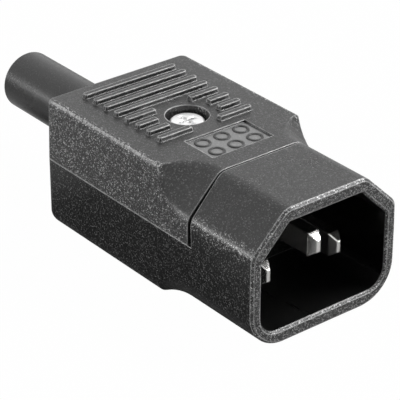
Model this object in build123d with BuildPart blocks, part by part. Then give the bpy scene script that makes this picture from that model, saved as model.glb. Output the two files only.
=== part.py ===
from build123d import *
from math import asin, atan, degrees, sin, sqrt
import os

os.makedirs("parts", exist_ok=True)

# Rewirable three-pin power plug, 10 A, lying on its lower shell.
# X runs forward to the mouth, Y to the side, Z up; the lower shell stands on Z = 0.
# The origin is under the middle of the whole length, boot included.

# Cavity that the mating connector enters
cavity_width = 24.4
cavity_height = 17.6
cavity_depth = 17.0
cavity_chamfer = 5.1
cavity_corner_radius = 3.2
mouth_bevel = 0.4

# Shroud round the cavity
shroud_side_wall = 2.0
shroud_top_wall = 2.4
shroud_chamfer = 6.1
shroud_chamfer_round = 2.6
shroud_bottom_radius = 6.5
rim_bevel = 0.4

# Body behind the shroud
cover_side_draft = 0.25
body_top_round = 0.8
body_bottom_round = 2.4
body_corner_round = 1.6
shoulder_to_mouth = 22.5
shoulder_radius = 6.5
shoulder_start_cut = 0.5
seam_to_mouth = 14.9
seam_gap = 0.4
seam_lean = 0.8
cover_lean = 0.25
parting_height = 12.0

# Wiring chamber
chamber_side_wall = 1.6
chamber_floor = 2.0
chamber_roof = 2.0
chamber_round = 1.0
chamber_front_cut = 4.4
chamber_front_radius = 2.2
rear_wall = 2.0
lap_thickness = 1.0
lip_width = 0.6
lip_height = 0.9
lock_rib = 1.3

# Lengths that stack up behind the cavity
carrier_plug_length = 2.0
flange_thickness = 2.0
earth_zone = 8.0
line_zone = 8.0
wiring_gap = 2.4
clamp_width = 6.0
clamp_gap = 1.2
boot_stop_wall = 1.4
boot_flange_thickness = 1.8

# Contact pins, one size for all three
pin_height = 4.0
pin_thickness = 2.0
pin_tip_height = 2.0
pin_tip_thickness = 0.6
pin_tip_length = 1.4
line_pin_to_side = 4.2
line_pin_drop = 2.35
earth_pin_rise = 1.65
line_tip_to_mouth = 4.7
earth_tip_to_mouth = 1.55
palm_length = 7.0
palm_width = 6.4

# Screws, all of M3 size
screw_radius = 1.45
cover_head_radius = 2.8
inner_head_radius = 2.5
screw_head_height = 2.0
screw_head_bevel = 0.25
terminal_screw_length = 5.0
cover_screw_length = 12.0
clamp_screw_length = 9.5
driver_slot = 0.8
driver_depth = 1.1
driver_span = 3.4

# Saddle plates under the terminal screws
saddle_thickness = 1.0
saddle_lip = 1.5

# Threaded insert that the cover screw enters
insert_radius = 2.3
insert_length = 6.0

# Cover screw recess and its pillars
recess_radius = 3.52
head_sink = 0.9
recess_wall = 1.5
pillar_radius = 3.2
insert_wall = 1.3

# Grip ribs on the cover
rib_count = 8
rib_pitch = 2.76
rib_width = 1.2
rib_height = 0.7
rib_span = 18.4
rib_draft = 10
rib_end_bevel = 0.3
rib_to_rear = 4.1
rib_clear_radius = 5.2

# Shallow label field in front of the ribs
label_length = 6.9
label_width = 11.9
label_depth = 0.35
label_gap = 1.9

# Cord boot
boot_length = 26.0
boot_radius = 5.1
boot_bore_radius = 3.7
boot_flange_radius = 7.0
boot_end_bevel = 0.5

# Cord clamp
clamp_bridge_wall = 1.5
clamp_foot = 2.2
clamp_side_gap = 0.6
clamp_post_radius = 2.6
clamp_tooth = 1.2

# Pin carrier
deck_thickness = 3.2
partition_wall = 0.8
partition_rise = 2.4
deck_skirt = 1.2
boss_slot = 4.4

# Clearances
fit = 0.1
pin_fit = 0.05
hole_fit = 0.25
hole_spare = 1.0

# Overall form
plug_width = cavity_width + 2 * shroud_side_wall
plug_height = cavity_height + 2 * shroud_top_wall
cavity_centre = plug_height / 2
half_width = plug_width / 2
chamber_half = half_width - chamber_side_wall
chamber_top = plug_height - chamber_roof

# Places along X
carrier_length = carrier_plug_length + flange_thickness + earth_zone + line_zone
boot_groove = boot_flange_thickness + 2 * fit
body_length = (
    cavity_depth + carrier_length + wiring_gap + clamp_width + clamp_gap
    + boot_stop_wall + boot_groove + rear_wall
)
mouth_x = (body_length + boot_length) / 2
rear_x = mouth_x - body_length
boot_end_x = rear_x - boot_length
seam_x = mouth_x - seam_to_mouth
cover_front_x = seam_x - seam_gap + cover_lean
shoulder_x = mouth_x - shoulder_to_mouth
cavity_floor_x = mouth_x - cavity_depth
spigot_x = cavity_floor_x - carrier_plug_length
flange_x = spigot_x - flange_thickness
earth_rear_x = flange_x - earth_zone
line_rear_x = earth_rear_x - line_zone
earth_terminal_x = flange_x - earth_zone / 2
line_terminal_x = earth_rear_x - line_zone / 2
cover_screw_x = line_terminal_x
chamber_rear_x = rear_x + rear_wall
boot_stop_x = chamber_rear_x + boot_groove
clamp_rear_x = boot_stop_x + boot_stop_wall + clamp_gap
clamp_x = clamp_rear_x + clamp_width / 2
last_rib_x = rear_x + rib_to_rear + (rib_count - 1) * rib_pitch
label_x = last_rib_x + rib_width / 2 + label_gap + label_length / 2

# Heights
line_pin_z = cavity_centre - line_pin_drop
earth_pin_z = cavity_centre + earth_pin_rise
line_palm_top = line_pin_z + pin_height / 2
earth_palm_top = earth_pin_z + pin_height / 2
line_deck = line_palm_top - pin_thickness
earth_deck = earth_palm_top - pin_thickness
partition_top = earth_palm_top + partition_rise
cover_head_top = plug_height - head_sink
cover_seat = cover_head_top - screw_head_height
clamp_seat = parting_height
axis_height = parting_height
pillar_joint = parting_height - fit
cover_screw_tip = cover_seat - cover_screw_length
insert_foot = pillar_joint - insert_length
cover_hole_depth = pillar_joint - min(cover_screw_tip, insert_foot) + hole_spare
clamp_hole_depth = clamp_screw_length - clamp_foot + hole_spare
lock_rib_foot = parting_height + lip_height + fit

# Places across Y
line_pin_y = (cavity_width - pin_thickness) / 2 - line_pin_to_side
line_palm_inner = line_pin_y - pin_thickness / 2
screw_to_edge = pin_thickness + screw_radius + hole_fit
line_screw_y = line_palm_inner + screw_to_edge
earth_palm_left = -pin_thickness / 2
earth_screw_y = earth_palm_left + screw_to_edge
centre_half = earth_palm_left + palm_width + partition_wall
clamp_half_span = chamber_half - clamp_side_gap
clamp_screw_offset = boot_bore_radius + clamp_bridge_wall + inner_head_radius + fit
pin_slot = pin_thickness + 2 * pin_fit
pin_slot_height = pin_height + 2 * pin_fit

# Cylinders that stand on a level, or hang from it
stand = (Align.CENTER, Align.CENTER, Align.MIN)
hang = (Align.CENTER, Align.CENTER, Align.MAX)

# Shoulder between body and shroud: a cove that is tangent to the shroud's chamfer
shoulder_corner = shroud_chamfer / sqrt(2)
shoulder_run = sqrt(shoulder_radius**2 - (shoulder_radius - shoulder_corner) ** 2)
shoulder_end_x = shoulder_x + shoulder_run
shoulder_sweep = asin(shoulder_run / shoulder_radius)
shoulder_spans = 6
shoulder_stations = [
    shoulder_end_x - shoulder_radius * sin(shoulder_sweep * (1 - span / shoulder_spans))
    for span in range(shoulder_spans + 1)
]


def upper_section(x, cut, cut_round, inset=0.0):
    """Outline above the parting line, with both top corners cut at 45 degrees."""
    top = plug_height - inset
    cut = cut - inset * (2 - sqrt(2))
    half = half_width - inset
    side = half - cover_side_draft * (top - cut - parting_height) / (top - parting_height)
    top_half = half - cover_side_draft - cut
    with BuildSketch(Plane.YZ.offset(x)) as section:
        with BuildLine():
            Polyline(
                (-half, parting_height),
                (half, parting_height),
                (side, top - cut),
                (top_half, top),
                (-top_half, top),
                (-side, top - cut),
                close=True,
            )
        make_face()
        levels = section.vertices().group_by(Axis.Y)
        fillet(levels[-1] + levels[-2], cut_round - inset)
    return section.sketch


def lower_section(x, corner_radius):
    """Outline below the parting line, with both bottom corners rounded."""
    with BuildSketch(Plane.YZ.offset(x)) as section:
        with Locations((0, parting_height / 2)):
            Rectangle(plug_width, parting_height)
        fillet(section.vertices().group_by(Axis.Y)[0], corner_radius)
    return section.sketch


def cavity_section(x, shrink=0.0):
    """Outline of the mating cavity, or of what fits in it with a gap all round."""
    with BuildSketch(Plane.YZ.offset(x)) as section:
        with Locations((0, cavity_centre)):
            Rectangle(cavity_width - 2 * shrink, cavity_height - 2 * shrink)
        chamfer(section.vertices().group_by(Axis.Y)[-1], cavity_chamfer - shrink * (2 - sqrt(2)))
        fillet(section.vertices().group_by(Axis.Y)[0], cavity_corner_radius - shrink)
    return section.sketch


def chamber_section(x, top_cut, bottom_radius, shrink=0.0):
    """Outline of the wiring chamber, or of what fits in it; both stand on the floor."""
    top = chamber_top - shrink
    with BuildSketch(Plane.YZ.offset(x)) as section:
        with Locations((0, (chamber_floor + top) / 2)):
            Rectangle(2 * (chamber_half - shrink), top - chamber_floor)
        chamfer(section.vertices().group_by(Axis.Y)[-1], top_cut)
        fillet(section.vertices().group_by(Axis.Y)[0], bottom_radius)
    return section.sketch


def on_shoulder(x, body_size, shroud_size):
    """Size of a corner at x, on the cove's radius from the body's size to the shroud's."""
    rise = shoulder_radius - sqrt(shoulder_radius**2 - (shoulder_end_x - x) ** 2)
    return shroud_size - (shroud_size - body_size) * rise / shoulder_corner


def block(x, y, z, mode=Mode.ADD):
    """Rectangular rib, wall or pocket between the given pairs of limits."""
    with Locations(((x[0] + x[1]) / 2, (y[0] + y[1]) / 2, (z[0] + z[1]) / 2)):
        Box(x[1] - x[0], y[1] - y[0], z[1] - z[0], mode=mode)


def round_along_x(x, radius, y=0, z=axis_height, mode=Mode.ADD):
    """Round bar or hole along X between the given pair of limits."""
    with BuildSketch(Plane.YZ.offset(x[0])) as disc:
        with Locations((y, z)):
            Circle(radius)
    extrude(disc.sketch, amount=x[1] - x[0], mode=mode)


def wedge_across(corners):
    """Cut through the whole width, with the given corners in X and Z."""
    with BuildSketch(Plane.XZ) as wedge:
        with BuildLine():
            Polyline(*corners, close=True)
        make_face()
    extrude(wedge.sketch, amount=half_width, both=True, mode=Mode.SUBTRACT)


def machine_screw(length, head_radius, cross):
    """Screw with its head's underside at the origin, slotted, or bevelled with a cross recess."""
    with BuildPart() as screw:
        Cylinder(head_radius, screw_head_height, align=stand)
        if cross:
            chamfer(screw.edges().sort_by(Axis.Z)[-1], screw_head_bevel)
        Cylinder(screw_radius, length, align=hang)
        slot_length = driver_span if cross else 2 * head_radius
        turns = (0, 90) if cross else (0,)
        with Locations((0, 0, screw_head_height)):
            for turn in turns:
                Box(
                    slot_length,
                    driver_slot,
                    driver_depth,
                    rotation=(0, 0, turn),
                    align=hang,
                    mode=Mode.SUBTRACT,
                )
    return screw.part


# Wiring chamber, cut from both shells
with BuildPart() as chamber:
    chamber_front_x = earth_rear_x + earth_zone / 2
    extrude(
        chamber_section(chamber_rear_x, chamber_round, chamber_round),
        amount=chamber_front_x - chamber_rear_x,
    )
    extrude(
        chamber_section(chamber_front_x, chamber_front_cut, chamber_front_radius),
        amount=spigot_x - chamber_front_x,
    )


def body_half(level, draft, edge_round):
    """Body behind the shoulder, from the parting line to a level, with its outer edges rounded."""
    rise = level - parting_height
    with BuildPart() as body:
        with BuildSketch(Plane.XY.offset(parting_height)) as plan:
            with Locations((rear_x, 0)):
                Rectangle(shoulder_end_x - rear_x, plug_width, align=(Align.MIN, Align.CENTER))
            fillet(plan.vertices().group_by(Axis.X)[0], body_corner_round)
        extrude(amount=rise, taper=degrees(atan(draft / abs(rise))))
        block(
            (shoulder_x, shoulder_end_x),
            (-half_width, half_width),
            sorted((parting_height, level)),
            mode=Mode.SUBTRACT,
        )
        outer = body.faces().sort_by(lambda face: abs(face.center().Z - level))[0]
        fillet(outer.edges().sort_by(Axis.X)[:-1], edge_round)
    return body.part


# Lower shell: lower half of the body, the whole shroud and a spigot that the cover laps
with BuildPart() as lower_shell:
    add(body_half(0, 0, body_bottom_round))
    loft(
        [
            lower_section(x, on_shoulder(x, body_bottom_round, shroud_bottom_radius))
            for x in shoulder_stations
        ],
        ruled=True,
    )
    extrude(lower_section(shoulder_end_x, shroud_bottom_radius), amount=mouth_x - shoulder_end_x)
    extrude(upper_section(seam_x, shroud_chamfer, shroud_chamfer_round), amount=mouth_x - seam_x)
    # Rear edge of the shroud leans forward; the spigot inside it stays whole
    wedge_across(
        [(seam_x, parting_height), (seam_x + seam_lean, parting_height), (seam_x, plug_height)]
    )
    extrude(
        upper_section(spigot_x, shroud_chamfer, shroud_chamfer_round, lap_thickness),
        amount=seam_x + seam_lean - spigot_x,
    )
    # Mating cavity with its rim, and the wiring chamber
    extrude(cavity_section(spigot_x), amount=mouth_x - spigot_x, mode=Mode.SUBTRACT)
    chamfer(lower_shell.faces().sort_by(Axis.X)[-1].outer_wire().edges(), rim_bevel)
    chamfer(lower_shell.faces().sort_by(Axis.X)[-1].inner_wires()[0].edges(), mouth_bevel)
    add(chamber.part, mode=Mode.SUBTRACT)
    # Lips that key the cover sideways
    for side in (-1, 1):
        block(
            (boot_stop_x, spigot_x),
            sorted((side * chamber_half, side * (chamber_half + lip_width))),
            (parting_height, parting_height + lip_height),
        )
    # Wall that stops the boot's flange, and the boot's seat in the rear wall
    block(
        (boot_stop_x, boot_stop_x + boot_stop_wall),
        (-chamber_half, chamber_half),
        (chamber_floor, parting_height),
    )
    round_along_x((rear_x, clamp_rear_x), boot_radius + fit, mode=Mode.SUBTRACT)
    # Toothed cord saddle between the two clamp posts
    for tooth_x in (clamp_rear_x, clamp_rear_x + clamp_width - clamp_tooth):
        block(
            (tooth_x, tooth_x + clamp_tooth),
            (clamp_post_radius - clamp_screw_offset, clamp_screw_offset - clamp_post_radius),
            (chamber_floor, clamp_seat - clamp_tooth),
        )
    round_along_x((clamp_rear_x, clamp_rear_x + clamp_width), boot_bore_radius, mode=Mode.SUBTRACT)
    with Locations(
        (clamp_x, -clamp_screw_offset, clamp_seat),
        (clamp_x, clamp_screw_offset, clamp_seat),
    ):
        Cylinder(clamp_post_radius, clamp_seat - chamber_floor, align=hang)
        Cylinder(screw_radius + pin_fit, clamp_hole_depth, align=hang, mode=Mode.SUBTRACT)
    # Pillar that holds the threaded insert
    with Locations((cover_screw_x, 0, pillar_joint)):
        Cylinder(insert_radius + insert_wall, pillar_joint - chamber_floor, align=hang)
        Cylinder(insert_radius, insert_length, align=hang, mode=Mode.SUBTRACT)
        Cylinder(screw_radius + hole_fit, cover_hole_depth, align=hang, mode=Mode.SUBTRACT)
lower_shell.part.label = "lower_shell"
export_step(lower_shell.part, "parts/lower_shell.step")

# Upper cover, which ends in the seam round the front of the shoulder
with BuildPart() as upper_cover:
    add(body_half(plug_height, cover_side_draft, body_top_round))
    loft(
        [
            upper_section(
                x,
                on_shoulder(x, shoulder_start_cut, shroud_chamfer),
                on_shoulder(x, body_top_round, shroud_chamfer_round),
            )
            for x in shoulder_stations
        ],
        ruled=True,
    )
    extrude(
        upper_section(shoulder_end_x, shroud_chamfer, shroud_chamfer_round),
        amount=cover_front_x - shoulder_end_x,
    )
    wedge_across(
        [
            (cover_front_x, parting_height),
            (cover_front_x, plug_height),
            (cover_front_x - cover_lean, plug_height),
        ]
    )
    # Wiring chamber, and the bore that laps the spigot
    add(chamber.part, mode=Mode.SUBTRACT)
    extrude(
        upper_section(spigot_x, shroud_chamfer, shroud_chamfer_round, lap_thickness - fit),
        amount=seam_x - spigot_x,
        mode=Mode.SUBTRACT,
    )
    for side in (-1, 1):
        block(
            (boot_stop_x - fit, spigot_x + fit),
            sorted((side * chamber_half, side * (chamber_half + lip_width + fit))),
            (parting_height, parting_height + lip_height + fit),
            mode=Mode.SUBTRACT,
        )
        # Ribs behind the carrier's flange
        block(
            (flange_x - fit - lock_rib, flange_x - fit),
            sorted((side * (centre_half + lock_rib), side * chamber_half)),
            (lock_rib_foot, chamber_top),
        )
    block(
        (boot_stop_x, boot_stop_x + boot_stop_wall),
        (-chamber_half, chamber_half),
        (parting_height, chamber_top),
    )
    round_along_x((rear_x, clamp_rear_x), boot_radius + fit, mode=Mode.SUBTRACT)
    # Stepped pillar under the screw recess
    with Locations((cover_screw_x, 0, chamber_top)):
        Cylinder(pillar_radius, chamber_top - parting_height, align=hang)
        Cylinder(recess_radius + recess_wall, chamber_top - cover_seat + recess_wall, align=hang)
    with Locations((cover_screw_x, 0, plug_height)):
        Cylinder(recess_radius, plug_height - cover_seat, align=hang, mode=Mode.SUBTRACT)
        Cylinder(screw_radius + hole_fit, plug_height - parting_height, align=hang, mode=Mode.SUBTRACT)
    # Grip ribs, with square ends that clear the recess
    with BuildSketch(Plane.XY.offset(plug_height)) as ribs:
        rib_places = [rear_x + rib_to_rear + row * rib_pitch for row in range(rib_count)]
        with Locations([(rib_x, 0) for rib_x in rib_places]):
            Rectangle(rib_width, rib_span)
        chamfer(ribs.vertices(), rib_end_bevel)
        for rib_x in rib_places:
            if abs(rib_x - cover_screw_x) < rib_clear_radius:
                clear_half = sqrt(rib_clear_radius**2 - (rib_x - cover_screw_x) ** 2)
                with Locations((rib_x, 0)):
                    Rectangle(rib_width, 2 * clear_half, mode=Mode.SUBTRACT)
    extrude(amount=rib_height, taper=rib_draft)
    # Label field
    with BuildSketch(Plane.XY.offset(plug_height)):
        with Locations((label_x, 0)):
            Rectangle(label_length, label_width)
    extrude(amount=-label_depth, mode=Mode.SUBTRACT)
upper_cover.part.label = "upper_cover"
export_step(upper_cover.part, "parts/upper_cover.step")

# Pin carrier: front plug in the shroud, flange behind it, and decks for the terminals
with BuildPart() as pin_carrier:
    extrude(cavity_section(spigot_x, fit), amount=carrier_plug_length)
    extrude(
        chamber_section(flange_x, chamber_front_cut, chamber_front_radius, fit),
        amount=flange_thickness,
    )
    # Decks for the line terminals, on each side of a slot for the cover screw's pillar
    with BuildSketch(Plane.YZ.offset(line_rear_x)) as decks:
        with Locations((0, (chamber_floor + line_deck) / 2)):
            Rectangle(2 * (chamber_half - fit), line_deck - chamber_floor)
            fillet(decks.vertices().group_by(Axis.Y)[0], chamber_front_radius)
            Rectangle(2 * boss_slot, line_deck - chamber_floor, mode=Mode.SUBTRACT)
    extrude(amount=flange_x - line_rear_x)
    # Higher deck for the earth terminal, between two partitions
    block((earth_rear_x, flange_x), (-centre_half, centre_half), (chamber_floor, earth_deck))
    for side in (-1, 1):
        block(
            (earth_rear_x, flange_x),
            sorted((side * (centre_half - partition_wall), side * centre_half)),
            (earth_deck, partition_top),
        )
        block(
            (line_rear_x + deck_skirt, flange_x),
            sorted((side * (boss_slot + deck_skirt), side * (chamber_half - fit - deck_skirt))),
            (chamber_floor, line_deck - deck_thickness),
            mode=Mode.SUBTRACT,
        )
        # Slot and screw well of a line pin
        block(
            (line_rear_x, cavity_floor_x),
            (side * line_pin_y - pin_slot / 2, side * line_pin_y + pin_slot / 2),
            (line_pin_z - pin_slot_height / 2, line_pin_z + pin_slot_height / 2),
            mode=Mode.SUBTRACT,
        )
        with Locations((line_terminal_x, side * line_screw_y, line_deck)):
            Cylinder(screw_radius + hole_fit, deck_thickness, align=hang, mode=Mode.SUBTRACT)
    # Hollow, slot and screw well of the earth pin
    block(
        (earth_rear_x + deck_skirt, flange_x),
        (-boss_slot, boss_slot),
        (chamber_floor, earth_deck - deck_thickness),
        mode=Mode.SUBTRACT,
    )
    block(
        (earth_rear_x, cavity_floor_x),
        (-pin_slot / 2, pin_slot / 2),
        (earth_pin_z - pin_slot_height / 2, earth_pin_z + pin_slot_height / 2),
        mode=Mode.SUBTRACT,
    )
    with Locations((earth_terminal_x, earth_screw_y, earth_deck)):
        Cylinder(screw_radius + hole_fit, deck_thickness, align=hang, mode=Mode.SUBTRACT)
pin_carrier.part.label = "pin_carrier"
export_step(pin_carrier.part, "parts/pin_carrier.step")


def contact_pin(tip_x, terminal_x, y, z, side):
    """Blade with a bevelled tip, and a tail folded over to a palm on the given side."""
    palm_rear = terminal_x - palm_length / 2
    palm_inner = y - side * pin_thickness / 2
    palm_outer = palm_inner + side * palm_width
    palm_top = z + pin_height / 2
    with BuildPart() as pin:
        with BuildSketch(Plane.YZ.offset(tip_x)):
            with Locations((y, z)):
                Rectangle(pin_tip_thickness, pin_tip_height)
        with BuildSketch(Plane.YZ.offset(tip_x - pin_tip_length)):
            with Locations((y, z)):
                Rectangle(pin_thickness, pin_height)
        loft(ruled=True)
        block(
            (palm_rear, tip_x - pin_tip_length),
            (y - pin_thickness / 2, y + pin_thickness / 2),
            (z - pin_height / 2, palm_top),
        )
        block(
            (palm_rear, palm_rear + palm_length),
            sorted((palm_inner, palm_outer)),
            (palm_top - pin_thickness, palm_top),
        )
        with Locations((terminal_x, palm_inner + side * screw_to_edge, palm_top)):
            Cylinder(screw_radius + pin_fit, pin_thickness, align=hang, mode=Mode.SUBTRACT)
    return pin.part


def saddle_plate(terminal_x, palm_inner, side, palm_top):
    """Plate on a palm, hooked over the palm's rear edge."""
    palm_rear = terminal_x - palm_length / 2
    across = sorted((palm_inner + side * fit, palm_inner + side * (palm_width - fit)))
    with BuildPart() as plate:
        block(
            (palm_rear - fit - saddle_thickness, terminal_x + palm_length / 2 - fit),
            across,
            (palm_top, palm_top + saddle_thickness),
        )
        block(
            (palm_rear - fit - saddle_thickness, palm_rear - fit),
            across,
            (palm_top - saddle_lip, palm_top),
        )
        with Locations((terminal_x, palm_inner + side * screw_to_edge, palm_top)):
            Cylinder(screw_radius + hole_fit, saddle_thickness, align=stand, mode=Mode.SUBTRACT)
    return plate.part


line_tip_x = mouth_x - line_tip_to_mouth
earth_tip_x = mouth_x - earth_tip_to_mouth
pins = {
    "live_pin": contact_pin(line_tip_x, line_terminal_x, -line_pin_y, line_pin_z, -1),
    "neutral_pin": contact_pin(line_tip_x, line_terminal_x, line_pin_y, line_pin_z, 1),
    "earth_pin": contact_pin(earth_tip_x, earth_terminal_x, 0, earth_pin_z, 1),
}
saddles = {
    "live_saddle": saddle_plate(line_terminal_x, -line_palm_inner, -1, line_palm_top),
    "neutral_saddle": saddle_plate(line_terminal_x, line_palm_inner, 1, line_palm_top),
    "earth_saddle": saddle_plate(earth_terminal_x, earth_palm_left, 1, earth_palm_top),
}
for name, piece in (pins | saddles).items():
    piece.label = name
    export_step(piece, f"parts/{name}.step")

# Terminal screws, one over each saddle plate
with BuildPart() as terminal_screws:
    with Locations(
        (line_terminal_x, -line_screw_y, line_palm_top + saddle_thickness),
        (line_terminal_x, line_screw_y, line_palm_top + saddle_thickness),
        (earth_terminal_x, earth_screw_y, earth_palm_top + saddle_thickness),
    ):
        add(machine_screw(terminal_screw_length, inner_head_radius, cross=False))
terminal_screws.part.label = "terminal_screws"
export_step(terminal_screws.part, "parts/terminal_screws.step")

# Cover screw, and the threaded insert that it enters
with BuildPart() as cover_screw:
    with Locations((cover_screw_x, 0, cover_seat)):
        add(machine_screw(cover_screw_length, cover_head_radius, cross=True))
cover_screw.part.label = "cover_screw"
export_step(cover_screw.part, "parts/cover_screw.step")

with BuildPart() as cover_insert:
    with Locations((cover_screw_x, 0, pillar_joint)):
        Cylinder(insert_radius, insert_length, align=hang)
        Cylinder(screw_radius + pin_fit, insert_length, align=hang, mode=Mode.SUBTRACT)
cover_insert.part.label = "cover_insert"
export_step(cover_insert.part, "parts/cover_insert.step")

# Cord clamp: a bridge over the cord, on the two posts
with BuildPart() as cord_clamp:
    with BuildSketch(Plane.YZ.offset(clamp_rear_x)):
        with Locations((0, axis_height)):
            Circle(boot_bore_radius + clamp_bridge_wall)
        with Locations((0, clamp_seat + clamp_foot / 2)):
            Rectangle(2 * clamp_half_span, clamp_foot)
        with Locations((0, axis_height)):
            Circle(boot_bore_radius, mode=Mode.SUBTRACT)
        with Locations((0, clamp_seat)):
            Rectangle(
                2 * clamp_half_span,
                plug_height,
                align=(Align.CENTER, Align.MAX),
                mode=Mode.SUBTRACT,
            )
    extrude(amount=clamp_width)
    with Locations(
        (clamp_x, -clamp_screw_offset, clamp_seat),
        (clamp_x, clamp_screw_offset, clamp_seat),
    ):
        Cylinder(screw_radius + hole_fit, clamp_foot, align=stand, mode=Mode.SUBTRACT)
cord_clamp.part.label = "cord_clamp"
export_step(cord_clamp.part, "parts/cord_clamp.step")

with BuildPart() as clamp_screws:
    with Locations(
        (clamp_x, -clamp_screw_offset, clamp_seat + clamp_foot),
        (clamp_x, clamp_screw_offset, clamp_seat + clamp_foot),
    ):
        add(machine_screw(clamp_screw_length, inner_head_radius, cross=False))
clamp_screws.part.label = "clamp_screws"
export_step(clamp_screws.part, "parts/clamp_screws.step")

# Cord boot: a soft tube with a flange between the rear wall and the wall in front of it
with BuildPart() as cord_boot:
    round_along_x((boot_end_x, boot_stop_x + boot_stop_wall), boot_radius)
    outer_end = cord_boot.edges().filter_by(GeomType.CIRCLE).sort_by(Axis.X)[0]
    chamfer(outer_end, boot_end_bevel)
    round_along_x((chamber_rear_x + fit, boot_stop_x - fit), boot_flange_radius)
    round_along_x((boot_end_x, boot_stop_x + boot_stop_wall), boot_bore_radius, mode=Mode.SUBTRACT)
cord_boot.part.label = "cord_boot"
export_step(cord_boot.part, "parts/cord_boot.step")
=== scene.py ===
import math

import bmesh
import bpy
from mathutils import Matrix, Vector


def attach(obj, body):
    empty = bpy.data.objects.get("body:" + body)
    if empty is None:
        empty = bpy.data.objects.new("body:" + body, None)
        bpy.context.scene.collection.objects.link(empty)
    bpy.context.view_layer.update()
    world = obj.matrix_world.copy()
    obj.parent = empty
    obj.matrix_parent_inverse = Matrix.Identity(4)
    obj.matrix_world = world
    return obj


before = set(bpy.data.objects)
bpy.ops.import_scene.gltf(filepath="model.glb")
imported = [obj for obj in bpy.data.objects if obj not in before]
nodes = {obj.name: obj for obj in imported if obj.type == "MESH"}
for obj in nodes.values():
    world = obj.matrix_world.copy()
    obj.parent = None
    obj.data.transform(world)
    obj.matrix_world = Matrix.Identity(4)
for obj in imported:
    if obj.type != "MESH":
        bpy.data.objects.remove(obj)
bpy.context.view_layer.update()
mm = 0.001
print("frame loaded,", len(nodes), "nodes")


# Camera, solved from the photograph's perspective; it looks at start, slid right and up
cameraPlace = {
    "azimuth": 51.416,
    "elevation": 28.704,
    "lens": 182.672,
    "sensorWidth": 36,
    "clipStart": 0.01,
    "clipEnd": 10,
    "distance": 313.914 * mm,
    "start": Vector((19.0, 0.0, 11.1)) * mm,
    "slideRight": -6.111 * mm,
    "slideUp": 1.471 * mm,
}


def placeCamera(place):
    turn, tilt = math.radians(place["azimuth"]), math.radians(place["elevation"])
    flat = math.cos(tilt)
    back = Vector((math.sin(turn) * flat, -math.cos(turn) * flat, math.sin(tilt)))
    right = Vector((math.cos(turn), math.sin(turn), 0))
    up = back.cross(right)
    data = bpy.data.cameras.new("photoCamera")
    data.lens = place["lens"]
    data.sensor_width = place["sensorWidth"]
    data.clip_start, data.clip_end = place["clipStart"], place["clipEnd"]
    camera = bpy.data.objects.new("photoCamera", data)
    bpy.context.scene.collection.objects.link(camera)
    aim = place["start"] + place["slideRight"] * right + place["slideUp"] * up
    spot = Matrix((right, up, back)).transposed().to_4x4()
    spot.translation = aim + place["distance"] * back
    camera.matrix_world = spot
    bpy.context.scene.camera = camera


placeCamera(cameraPlace)
bpy.context.scene.view_settings.view_transform = "Standard"
print("camera placed")


# Node helpers: a socket given as an input is linked, anything else is set
def addNode(tree, kind, inputs=None, **settings):
    node = tree.nodes.new(kind)
    for key, value in settings.items():
        setattr(node, key, value)
    for key, value in (inputs or {}).items():
        if isinstance(value, bpy.types.NodeSocket):
            tree.links.new(value, node.inputs[key])
        else:
            node.inputs[key].default_value = value
    return node


def doMath(tree, operation, first, second=0.0, clamp=False):
    inputs = {0: first, 1: second}
    node = addNode(tree, "ShaderNodeMath", inputs, operation=operation, use_clamp=clamp)
    return node.outputs[0]


def multiply(tree, first, *others):
    for other in others:
        first = doMath(tree, "MULTIPLY", first, other)
    return first


def remap(tree, value, limits, newLow, newHigh):
    node = addNode(tree, "ShaderNodeMapRange", {
        "Value": value, "From Min": limits[0], "From Max": limits[1],
        "To Min": newLow, "To Max": newHigh,
    })
    return node.outputs["Result"]


def rise(tree, value, limits):
    return remap(tree, value, limits, 0.0, 1.0)


def fade(tree, value, limits):
    return remap(tree, value, limits, 1.0, 0.0)


# Colour mix: the Mix node's colour sockets are inputs 6 and 7 and output 2
def blendColours(tree, share, first, second):
    node = addNode(tree, "ShaderNodeMix", {0: share, 6: first, 7: second}, data_type="RGBA")
    return node.outputs[2]


def splitAxes(tree, vector):
    return addNode(tree, "ShaderNodeSeparateXYZ", {0: vector}).outputs


def objectPlace(tree):
    return addNode(tree, "ShaderNodeTexCoord").outputs["Object"]


def addNoise(tree, where, scale, detail, roughness):
    return addNode(tree, "ShaderNodeTexNoise", {
        "Vector": where, "Scale": scale, "Detail": detail, "Roughness": roughness,
    }).outputs["Fac"]


def newGroup(name, inputs, outputs):
    tree = bpy.data.node_groups.new(name, "ShaderNodeTree")
    for label, value in inputs.items():
        socket = tree.interface.new_socket(
            name=label, in_out="INPUT", socket_type="NodeSocketFloat"
        )
        socket.default_value = value
    for label, kind in outputs.items():
        tree.interface.new_socket(name=label, in_out="OUTPUT", socket_type=kind)
    given = tree.nodes.new("NodeGroupInput").outputs
    out = tree.nodes.new("NodeGroupOutput").inputs
    return tree, given, out


def useGroup(tree, group, values):
    node = tree.nodes.new("ShaderNodeGroup")
    node.node_tree = group
    for key, value in values.items():
        node.inputs[key].default_value = value
    return node.outputs


# Spark-eroded mould grain: fine pits, and a mask of painted glints, light specks where a few small
# facets would catch the light
grainShape = {
    "detail": 2.5,
    "roughness": 0.6,
    "facetsPerGrain": 1.1,
    "facetCore": (0.3, 0.6),  # share of a facet's reach where its light falls off
    "facetRim": 0.3,  # light left at its rim
}


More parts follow.
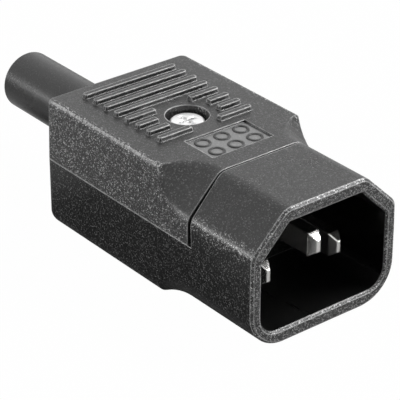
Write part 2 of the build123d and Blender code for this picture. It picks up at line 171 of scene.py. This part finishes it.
def makeGrain(shape):
    tree, given, out = newGroup(
        "sparkGrainAndGlints",
        {"Grains per Metre": 4000.0, "Pitting": 0.4, "Rarity": 5.0},
        {"Height": "NodeSocketFloat", "Glint": "NodeSocketFloat"},
    )
    where = objectPlace(tree)
    grains = given["Grains per Metre"]
    fine = addNoise(tree, where, grains, shape["detail"], shape["roughness"])
    facets = addNode(tree, "ShaderNodeTexVoronoi", {
        "Vector": where, "Scale": multiply(tree, grains, shape["facetsPerGrain"]),
        "Randomness": 1.0,
    }).outputs
    chance = splitAxes(tree, facets["Color"])
    pitted = multiply(tree, chance["Y"], given["Pitting"])
    tree.links.new(doMath(tree, "ADD", fine, pitted), out["Height"])
    core = remap(tree, facets["Distance"], shape["facetCore"], 1.0, shape["facetRim"])
    lucky = doMath(tree, "POWER", chance["X"], given["Rarity"])
    tree.links.new(multiply(tree, lucky, core), out["Glint"])
    return tree


# Rounded look of every edge, a mask of the wear along it, partly a painted highlight, and one of
# the hollows beside walls, where shade is painted
edgeShape = {
    "samples": 6,
    "turn": (0.995, 0.94),  # how far rounded and plain normal agree: no wear and highlight, full wear and highlight
    "reach": 0.8 * mm,
    "openForWear": (0.55, 0.75),
    "hollowShade": (0.85, 0.5),
    "patchesPerMetre": 900.0,
    "patchDetail": 3.0,
    "patchRoughness": 0.5,
    "patchLimits": (0.35, 0.65),
}


def makeEdges(shape):
    tree, given, out = newGroup(
        "edgeWearHighlightShade",
        {"Radius": 0.00025, "Patchiness": 0.5},
        {"Normal": "NodeSocketVector", "Wear And Highlight": "NodeSocketFloat", "Hollow": "NodeSocketFloat"},
    )
    samples = shape["samples"]
    bevel = addNode(tree, "ShaderNodeBevel", {"Radius": given["Radius"]}, samples=samples)
    rounded = bevel.outputs["Normal"]
    tree.links.new(rounded, out["Normal"])
    plain = addNode(tree, "ShaderNodeNewGeometry").outputs["Normal"]
    both = {0: rounded, 1: plain}
    agree = addNode(tree, "ShaderNodeVectorMath", both, operation="DOT_PRODUCT").outputs["Value"]
    edge = rise(tree, agree, shape["turn"])
    openness = addNode(
        tree, "ShaderNodeAmbientOcclusion", {"Distance": shape["reach"]},
        samples=samples, only_local=True,
    ).outputs["AO"]
    edge = multiply(tree, edge, rise(tree, openness, shape["openForWear"]))
    # Hollows beside walls, where shade is painted
    tree.links.new(rise(tree, openness, shape["hollowShade"]), out["Hollow"])
    patches = addNoise(tree, objectPlace(tree), shape["patchesPerMetre"],
                       shape["patchDetail"], shape["patchRoughness"])
    broken = rise(tree, patches, shape["patchLimits"])
    kept = doMath(tree, "SUBTRACT", 1.0, multiply(tree, broken, given["Patchiness"]))
    tree.links.new(doMath(tree, "MULTIPLY", edge, kept, clamp=True), out["Wear And Highlight"])
    return tree


# Slow unevenness from moulding and handling, and fine rubbed marks
handlingShape = {
    "toneDetail": 3.0,
    "toneRoughness": 0.5,
    "toneLimits": (0.3, 0.7),
    "markStretch": (0.15, 1.0, 1.0),
    "markTurn": (0.2, 0.1, 0.5),
    "markDetail": 5.0,
    "markRoughness": 0.7,
    "markLimits": (0.62, 0.72),
}


def makeHandling(shape):
    tree, given, out = newGroup(
        "handling",
        {"Patches per Metre": 90.0, "Marks per Metre": 260.0},
        {"Tone": "NodeSocketFloat", "Marks": "NodeSocketFloat"},
    )
    where = objectPlace(tree)
    slow = addNoise(tree, where, given["Patches per Metre"],
                    shape["toneDetail"], shape["toneRoughness"])
    tree.links.new(rise(tree, slow, shape["toneLimits"]), out["Tone"])
    stretched = addNode(tree, "ShaderNodeMapping", {
        "Vector": where, "Scale": shape["markStretch"], "Rotation": shape["markTurn"],
    }).outputs[0]
    rubbed = addNoise(tree, stretched, given["Marks per Metre"],
                      shape["markDetail"], shape["markRoughness"])
    tree.links.new(rise(tree, rubbed, shape["markLimits"]), out["Marks"])
    return tree


# Where the mould's finish changes on the shells, and where light and shade are painted: flat sides
# (painted lighter on the cover, painted darker on the shell), inside of the mouth (painted shade),
# its front rim (more painted glints), floor of the label field (a painted sheen), the brow (a band
# along the upper edge of the outer sides, with more painted glints) and the ridge (a painted
# highlight where the brow's surface turns). Each pair is where a mask starts and where it is full,
# or where it starts to fade and is gone.
zoneLimits = {
    "sideFacing": (0.86, 0.97),
    "mouthSide": (13.3 * mm, 13.1 * mm),
    "mouthBottom": (1.2 * mm, 1.4 * mm),
    "mouthTop": (21.2 * mm, 21.0 * mm),
    "mouthCutCorner": (29.0 * mm, 28.8 * mm),
    "mouthFront": (38.75 * mm, 38.55 * mm),
    "mouthBackWidth": 0.1 * mm,
    "fieldMiddle": 16.35 * mm,
    "fieldEnd": (3.5 * mm, 3.4 * mm),
    "fieldSide": (6.0 * mm, 5.9 * mm),
    "fieldAbove": (22.08 * mm, 22.12 * mm),
    "fieldBelow": (21.9 * mm, 22.0 * mm),
    "browHeight": (0.5 * mm, 1.9 * mm),
    "browSide": (12.9 * mm, 13.3 * mm),
    "browEnd": (-0.5 * mm, 1.0 * mm),
    "ridgeHighlightBelow": (0.35, 0.5),
    "ridgeHighlightAbove": (0.9, 0.8),
    "rim": (38.45 * mm, 38.6 * mm),
}


def makeZones(limits):
    masks = ("Side", "Inside", "Rim", "Field", "Brow", "Ridge Highlight")
    tree, given, out = newGroup(
        "finishZones",
        {"Inside Limit": 0.0, "Brow Height": 0.022, "Brow End": 0.017},
        {mask: "NodeSocketFloat" for mask in masks},
    )
    coords = addNode(tree, "ShaderNodeTexCoord").outputs
    sideways = doMath(tree, "ABSOLUTE", splitAxes(tree, coords["Normal"])["Y"])
    tree.links.new(rise(tree, sideways, limits["sideFacing"]), out["Side"])
    place = splitAxes(tree, coords["Object"])
    across = doMath(tree, "ABSOLUTE", place["Y"])

    back = given["Inside Limit"]
    inside = multiply(
        tree,
        rise(tree, across, limits["mouthSide"]),
        rise(tree, place["Z"], limits["mouthBottom"]),
        rise(tree, place["Z"], limits["mouthTop"]),
        rise(tree, doMath(tree, "ADD", across, place["Z"]), limits["mouthCutCorner"]),
        rise(tree, place["X"], limits["mouthFront"]),
        rise(tree, place["X"], (back, doMath(tree, "ADD", back, limits["mouthBackWidth"]))),
    )
    tree.links.new(inside, out["Inside"])

    toField = {0: coords["Object"], 1: (-limits["fieldMiddle"], 0.0, 0.0)}
    fromField = splitAxes(tree, addNode(tree, "ShaderNodeVectorMath", toField).outputs[0])
    fieldSheen = multiply(
        tree,
        rise(tree, doMath(tree, "ABSOLUTE", fromField["X"]), limits["fieldEnd"]),
        rise(tree, across, limits["fieldSide"]),
        fade(tree, place["Z"], limits["fieldAbove"]),
        rise(tree, place["Z"], limits["fieldBelow"]),
    )
    tree.links.new(fieldSheen, out["Field"])

    offBrow = doMath(tree, "SUBTRACT", place["Z"], given["Brow Height"])
    beyond = doMath(tree, "SUBTRACT", place["X"], given["Brow End"])
    brow = multiply(
        tree,
        fade(tree, doMath(tree, "ABSOLUTE", offBrow), limits["browHeight"]),
        rise(tree, across, limits["browSide"]),
        fade(tree, beyond, limits["browEnd"]),
    )
    tree.links.new(brow, out["Brow"])
    # Ridge: a painted highlight on the brow where its surface turns, by the way it faces
    turning = multiply(tree, rise(tree, sideways, limits["ridgeHighlightBelow"]),
                       rise(tree, sideways, limits["ridgeHighlightAbove"]))
    tree.links.new(multiply(tree, brow, turning), out["Ridge Highlight"])

    nearMouth = rise(tree, place["X"], limits["rim"])
    outside = doMath(tree, "SUBTRACT", 1.0, inside)
    tree.links.new(multiply(tree, nearMouth, outside), out["Rim"])
    return tree


sparkGrainAndGlints = makeGrain(grainShape)
edgeWearHighlightShade = makeEdges(edgeShape)
handling = makeHandling(handlingShape)
finishZones = makeZones(zoneLimits)
print("node groups made")


def newMaterial(name):
    material = bpy.data.materials.new(name)
    material.use_nodes = True
    tree = material.node_tree
    tree.nodes.clear()
    shader = tree.nodes.new("ShaderNodeBsdfPrincipled")
    sink = tree.nodes.new("ShaderNodeOutputMaterial")
    tree.links.new(shader.outputs[0], sink.inputs["Surface"])
    return material, tree, shader


def grey(level):
    return (level, level, level, 1.0)


# Black mouldings: the cover's look, and what the others change of it
coverLook = {
    "dark": grey(0.012), "light": grey(0.018), "patches": 90.0,
    "roughness": 0.3, "roughnessSpread": 0.03, "marks": 260.0, "markSmoother": 0.05, "ior": 1.53,
    "grains": 5000.0, "pitting": 0.5, "grainDepth": 0.035 * mm,
    # Specks are painted glints: near-white colour where grain facets would catch the light, more
    # of them on the sides, rim and brow
    "glintRarity": 5.5, "glintShare": 0.18, "glintColour": grey(0.95),
    # Side colour is painted light and shade: the cover's sides painted lighter, as painted light,
    # by the way they face
    "paintedSideColour": grey(0.022), "sideGlints": 0.95, "sideRougher": 0.12, "sideDeeper": 1.0,
    "rimColour": grey(0.016), "edgeGlints": 1.0,
    # Worn edges: light grey that is partly real wear and partly a painted highlight along the
    # edges
    "edgeRadius": 0.3 * mm, "edgePatchiness": 0.5, "wearAndHighlightShare": 0.95, "wearAndHighlightColour": grey(0.7),
    "browHeight": 22.2 * mm, "browEnd": 17 * mm,
    # Ridge: a painted highlight along the cover's rounded upper edge
    "ridgeHighlightShare": 1.0, "ridgeHighlightGrain": (0.5, 0.95), "ridgeHighlightLeast": 0.05,
    # Label field: painted lighter, a painted sheen of its smoother floor
    "fieldSheenShare": 0.0, "fieldSheenColour": grey(0.2),
    # Painted shade: near-black colour in the mouth and in hollows beside walls
    "insideLimit": 60 * mm, "paintedShadeColour": grey(0.002), "hollowRougher": -0.12,
    "smoothed": 0.8,  # share of the grain that inside, field and hollows lose
}
shellLook = dict(
    coverLook, dark=grey(0.010), light=grey(0.016), roughness=0.29,
    # The shell's sides are painted near black, a painted shade
    paintedSideColour=grey(0.002), sideGlints=0.26, sideRougher=-0.1, sideDeeper=-0.4,
    edgeGlints=0.9, edgeRadius=0.28 * mm, insideLimit=22.0 * mm,
    browHeight=16.3 * mm, browEnd=60 * mm, ridgeHighlightShare=0.0,
)
bootLook = dict(
    coverLook, dark=grey(0.011), light=grey(0.014), roughness=0.27, grainDepth=0.012 * mm,
    glintShare=0.05, sideGlints=0.05, edgeGlints=0.05, wearAndHighlightShare=0.3,
    paintedSideColour=grey(0.012), sideRougher=0.0, sideDeeper=0.0,
)
innerLook = dict(
    bootLook, dark=grey(0.003), light=grey(0.005), paintedSideColour=grey(0.004),
    grainDepth=0.006 * mm,
)
ringLook = dict(
    coverLook, dark=grey(0.003), light=grey(0.006), glintShare=0.05, wearAndHighlightColour=grey(0.1),
)


# Moulded plastic: grain, painted glints, worn edges partly painted as highlights and slow
# unevenness, with a finish for each zone, and painted light and shade in some zones
def makePlastic(name, look):
    material, tree, shader = newMaterial(name)
    grain = useGroup(tree, sparkGrainAndGlints, {
        "Grains per Metre": look["grains"], "Pitting": look["pitting"],
        "Rarity": look["glintRarity"],
    })
    edges = useGroup(tree, edgeWearHighlightShade, {
        "Radius": look["edgeRadius"], "Patchiness": look["edgePatchiness"],
    })
    touch = useGroup(tree, handling, {
        "Patches per Metre": look["patches"], "Marks per Metre": look["marks"],
    })
    zones = useGroup(tree, finishZones, {
        "Inside Limit": look["insideLimit"], "Brow Height": look["browHeight"],
        "Brow End": look["browEnd"],
    })

    # Colour: moulding, zones with painted side tones and a painted sheen on the label field,
    # painted glints, worn edges and painted highlights, and painted shade in the mouth and hollows
    colour = blendColours(tree, touch["Tone"], look["dark"], look["light"])
    # Sides painted in a tone of their own by the way they face: painted light on the cover,
    # painted shade on the shell
    colour = blendColours(tree, zones["Side"], colour, look["paintedSideColour"])
    colour = blendColours(tree, zones["Rim"], colour, look["rimColour"])
    # Label field painted lighter grey, a painted sheen
    fieldSheen = multiply(tree, zones["Field"], look["fieldSheenShare"])
    colour = blendColours(tree, fieldSheen, colour, look["fieldSheenColour"])
    # Painted glints: specks lightened towards near white, more on the sides, rim and brow
    sideGlints = multiply(tree, zones["Side"], look["sideGlints"] - look["glintShare"])
    rimOrBrow = doMath(tree, "MAXIMUM", zones["Rim"], zones["Brow"])
    moreGlints = doMath(tree, "MAXIMUM", sideGlints, multiply(tree, rimOrBrow, look["edgeGlints"]))
    glintShare = doMath(tree, "ADD", moreGlints, look["glintShare"])
    glintShare = multiply(tree, grain["Glint"], glintShare)
    colour = blendColours(tree, glintShare, colour, look["glintColour"])
    # Painted highlight along the ridge, broken up by the grain
    ridgeHighlight = multiply(
        tree, zones["Ridge Highlight"], look["ridgeHighlightShare"],
        remap(tree, grain["Height"], look["ridgeHighlightGrain"], look["ridgeHighlightLeast"], 1.0),
    )
    # Edges lightened: partly real wear, partly a painted highlight; the ridge's share is a painted
    # highlight
    wearAndHighlightShare = multiply(tree, doMath(tree, "MAXIMUM", edges["Wear And Highlight"], ridgeHighlight), look["wearAndHighlightShare"])
    colour = blendColours(tree, wearAndHighlightShare, colour, look["wearAndHighlightColour"])
    # Painted shade: near black in the mouth and in hollows beside walls
    paintedShade = doMath(tree, "MAXIMUM", zones["Inside"], edges["Hollow"])
    colour = blendColours(tree, paintedShade, colour, look["paintedShadeColour"])
    tree.links.new(colour, shader.inputs["Base Color"])

    # Roughness: uneven, smoother on rubbed marks and in hollows, its own on the sides
    spread = look["roughnessSpread"]
    rough = remap(tree, touch["Tone"], (0.0, 1.0),
                  look["roughness"] - spread, look["roughness"] + spread)
    rough = doMath(tree, "SUBTRACT", rough, multiply(tree, touch["Marks"], look["markSmoother"]))
    rough = doMath(tree, "ADD", rough, multiply(tree, zones["Side"], look["sideRougher"]))
    rough = doMath(tree, "ADD", rough, multiply(tree, edges["Hollow"], look["hollowRougher"]))
    tree.links.new(rough, shader.inputs["Roughness"])

    # Relief: grain of its own depth on the sides, and little inside, in the field and in hollows
    depth = doMath(tree, "ADD", 1.0, multiply(tree, zones["Side"], look["sideDeeper"]))
    insideOrField = doMath(tree, "MAXIMUM", zones["Inside"], fieldSheen)
    smooth = doMath(tree, "MAXIMUM", insideOrField, edges["Hollow"])
    smooth = multiply(tree, smooth, look["smoothed"])
    depth = multiply(tree, depth, doMath(tree, "SUBTRACT", 1.0, smooth))
    bump = addNode(tree, "ShaderNodeBump", {
        "Strength": 1.0, "Distance": look["grainDepth"],
        "Height": multiply(tree, grain["Height"], depth), "Normal": edges["Normal"],
    })
    tree.links.new(bump.outputs[0], shader.inputs["Normal"])
    shader.inputs["IOR"].default_value = look["ior"]
    return material


# Only the cover itself shows the label field's painted sheen; its rings keep their own colour
coverPlastic = makePlastic("grainedCoverPlastic", dict(coverLook, fieldSheenShare=1.0))
ringPlastic = makePlastic("darkRingPlastic", ringLook)
shellPlastic = makePlastic("grainedShellPlastic", shellLook)
bootRubber = makePlastic("softBootRubber", bootLook)
innerPlastic = makePlastic("plainInnerPlastic", innerLook)
print("plastics made")


# Metals: the pins' look, and what the others change of it
pinLook = {
    "dark": (0.82, 0.81, 0.79, 1), "light": (0.9, 0.89, 0.87, 1), "patches": 220.0,
    "roughness": 0.21, "smoother": 0.05, "rougher": 0.06, "marks": 400.0,
    "lines": 9000.0, "lineDetail": 4.0, "lineRoughness": 0.65, "lineLimits": (0.3, 0.7),
    "lineStretch": (0.05, 1.0, 1.0), "lineDepth": 0.0006 * mm,
    "edgeRadius": 0.38 * mm, "edgePatchiness": 0.3,
    "wearAndHighlightShare": 0.5, "wearAndHighlightColour": (0.95, 0.94, 0.93, 1),
}
headLook = dict(
    pinLook, dark=grey(0.95), light=grey(0.98), roughness=0.42, lineStretch=(1.0, 1.0, 0.2),
)
screwLook = dict(
    pinLook, dark=grey(0.9), light=grey(0.96), roughness=0.3,
    lines=6000.0, lineStretch=(1.0, 1.0, 0.2),
)
stripLook = dict(
    screwLook, dark=(0.5, 0.5, 0.49, 1), light=(0.62, 0.62, 0.6, 1), roughness=0.34,
)
brassLook = dict(
    screwLook, dark=(0.6, 0.42, 0.17, 1), light=(0.72, 0.53, 0.24, 1),
    wearAndHighlightColour=(0.8, 0.65, 0.35, 1),
)


# Metal: drawn or turned lines, tarnish in patches, brighter worn edges
def makeMetal(name, look):
    material, tree, shader = newMaterial(name)
    drawn = addNode(tree, "ShaderNodeMapping", {
        "Vector": objectPlace(tree), "Scale": look["lineStretch"],
    }).outputs[0]
    lines = addNoise(tree, drawn, look["lines"], look["lineDetail"], look["lineRoughness"])
    edges = useGroup(tree, edgeWearHighlightShade, {
        "Radius": look["edgeRadius"], "Patchiness": look["edgePatchiness"],
    })
    touch = useGroup(tree, handling, {
        "Patches per Metre": look["patches"], "Marks per Metre": look["marks"],
    })
    colour = blendColours(tree, touch["Tone"], look["dark"], look["light"])
    worn = multiply(tree, edges["Wear And Highlight"], look["wearAndHighlightShare"])
    colour = blendColours(tree, worn, colour, look["wearAndHighlightColour"])
    tree.links.new(colour, shader.inputs["Base Color"])
    rough = remap(tree, lines, look["lineLimits"],
                  look["roughness"] - look["smoother"], look["roughness"] + look["rougher"])
    tree.links.new(rough, shader.inputs["Roughness"])
    bump = addNode(tree, "ShaderNodeBump", {
        "Strength": 1.0, "Distance": look["lineDepth"], "Height": lines,
        "Normal": edges["Normal"],
    })
    tree.links.new(bump.outputs[0], shader.inputs["Normal"])
    shader.inputs["Metallic"].default_value = 1.0
    return material


headZinc = makeMetal("whiteZincHead", headLook)
nickel = makeMetal("drawnNickel", pinLook)
zinc = makeMetal("zincPlatedSteel", screwLook)
strip = makeMetal("platedSteelStrip", stripLook)
brass = makeMetal("turnedBrass", brassLook)
print("metals made")


def dress(material, *names):
    for name in names:
        nodes[name].data.materials.clear()
        nodes[name].data.materials.append(material)


dress(coverPlastic, "upper_cover")
dress(shellPlastic, "lower_shell")
dress(bootRubber, "cord_boot")
dress(innerPlastic, "pin_carrier", "cord_clamp")
dress(nickel, "live_pin", "neutral_pin", "earth_pin")
dress(zinc, "terminal_screws", "clamp_screws")
dress(headZinc, "cover_screw")
dress(strip, "live_saddle", "neutral_saddle", "earth_saddle")
dress(brass, "cover_insert")
print("pieces dressed")


# New piece with its own mesh, riding on the body
def newPiece(name, bm, material):
    mesh = bpy.data.meshes.new(name)
    bmesh.ops.recalc_face_normals(bm, faces=bm.faces)
    bm.to_mesh(mesh)
    bm.free()
    piece = bpy.data.objects.new(name, mesh)
    bpy.context.scene.collection.objects.link(piece)
    mesh.materials.append(material)
    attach(piece, "root")
    return piece


# Outline of radius and height pairs, swept round an upright line through a place
def sweepRound(bm, outline, centre, turns):
    angles = [2 * math.pi * k / turns for k in range(turns)]
    rings = [
        [
            bm.verts.new(centre + Vector((radius * math.cos(a), radius * math.sin(a), height)))
            for a in angles
        ]
        for radius, height in outline
    ]
    for low, high in zip(rings, rings[1:]):
        for k in range(turns):
            after = (k + 1) % turns
            bm.faces.new((low[k], low[after], high[after], high[k]))


# Six blank moulded rings in the label field
labelRings = {
    "floor": 22.05 * mm,
    "firstX": 14.65 * mm,
    "rows": (0, 1),
    "stepX": 3.4 * mm,
    "columns": (-1, 0, 1),
    "stepY": 3.75 * mm,
    "radius": 1.35 * mm,
    "width": 0.42 * mm,
    "rise": 0.16 * mm,
    "sink": 0.05 * mm,
    "softShare": 0.3,  # share of the rise that the upper edges are rounded by
    "leanShare": 0.1,  # share of that rounding that the walls lean in
    "turns": 48,
    "weld": 1e-7,
}


def makeLabelRings(look, material):
    bm = bmesh.new()
    radius, inner = look["radius"], look["radius"] - look["width"]
    top, foot = look["rise"], -look["sink"]
    soft = look["softShare"] * top
    lean = look["leanShare"] * soft
    outline = [
        (radius, foot), (radius - lean, top - soft), (radius - soft, top),
        (inner + soft, top), (inner + lean, top - soft), (inner, foot), (radius, foot),
    ]
    for row in look["rows"]:
        for column in look["columns"]:
            x, y = look["firstX"] + row * look["stepX"], column * look["stepY"]
            sweepRound(bm, outline, Vector((x, y, look["floor"])), look["turns"])
    bmesh.ops.remove_doubles(bm, verts=bm.verts, dist=look["weld"])
    piece = newPiece("labelRings", bm, material)


makeLabelRings(labelRings, ringPlastic)
print("label field filled")


# Studio: pale floor that the camera sees as white, white surroundings and three softboxes
studio = {
    "floorSize": 3.0,
    "floorDrop": 0.02 * mm,
    "floorColour": grey(0.46),
    "floorRoughness": 0.9,
    "floorSpecular": 0.1,
    "whiteShare": 0.99,
    "worldLevel": 0.2,
    "aim": (0, 0, 0.01),
    "softboxes": {
        "keyBox": {"place": (0.19, 0.45, 0.51), "size": (0.26, 0.26), "power": 5.4},
        "sideBox": {"place": (-0.37, -0.58, 0.16), "size": (0.3, 0.09), "power": 1.8},
        "mouthBox": {"place": (0.61, 0.33, 0.13), "size": (0.2, 0.2), "power": 0.9},
    },
}


def makeFloor(look):
    mesh = bpy.data.meshes.new("floor")
    half = look["floorSize"] / 2
    corners = [(-half, -half, 0), (half, -half, 0), (half, half, 0), (-half, half, 0)]
    mesh.from_pydata(corners, [], [(0, 1, 2, 3)])
    floor = bpy.data.objects.new("floor", mesh)
    floor.location.z = -look["floorDrop"]
    bpy.context.scene.collection.objects.link(floor)
    material, tree, shader = newMaterial("paleSheet")
    shader.inputs["Base Color"].default_value = look["floorColour"]
    shader.inputs["Roughness"].default_value = look["floorRoughness"]
    shader.inputs["Specular IOR Level"].default_value = look["floorSpecular"]
    seen = addNode(tree, "ShaderNodeLightPath").outputs["Is Camera Ray"]
    white = addNode(tree, "ShaderNodeEmission", {"Strength": 1.0}).outputs[0]
    share = multiply(tree, seen, look["whiteShare"])
    mixed = addNode(tree, "ShaderNodeMixShader", {0: share, 1: shader.outputs[0], 2: white})
    sink = next(node for node in tree.nodes if node.type == "OUTPUT_MATERIAL")
    tree.links.new(mixed.outputs[0], sink.inputs["Surface"])
    mesh.materials.append(material)


# White where the camera, gloss or glass looks, and dimmer as a light
def makeWorld(look):
    world = bpy.data.worlds.new("studio")
    world.use_nodes = True
    tree = world.node_tree
    tree.nodes.clear()
    path = addNode(tree, "ShaderNodeLightPath").outputs
    mirrored = doMath(tree, "MAXIMUM", path["Is Glossy Ray"], path["Is Transmission Ray"])
    seen = doMath(tree, "MAXIMUM", path["Is Camera Ray"], mirrored)
    strength = remap(tree, seen, (0.0, 1.0), look["worldLevel"], 1.0)
    shade = addNode(tree, "ShaderNodeBackground", {"Color": grey(1.0), "Strength": strength})
    sink = tree.nodes.new("ShaderNodeOutputWorld")
    tree.links.new(shade.outputs[0], sink.inputs["Surface"])
    bpy.context.scene.world = world


def addSoftbox(name, box, aim):
    data = bpy.data.lights.new(name, "AREA")
    data.shape = "RECTANGLE"
    data.size, data.size_y = box["size"]
    data.energy = box["power"]
    lamp = bpy.data.objects.new(name, data)
    place = Vector(box["place"])
    lamp.location = place
    lamp.rotation_euler = (Vector(aim) - place).to_track_quat("-Z", "Y").to_euler()
    bpy.context.scene.collection.objects.link(lamp)


makeFloor(studio)
makeWorld(studio)
for name, box in studio["softboxes"].items():
    addSoftbox(name, box, studio["aim"])
print("studio lit")
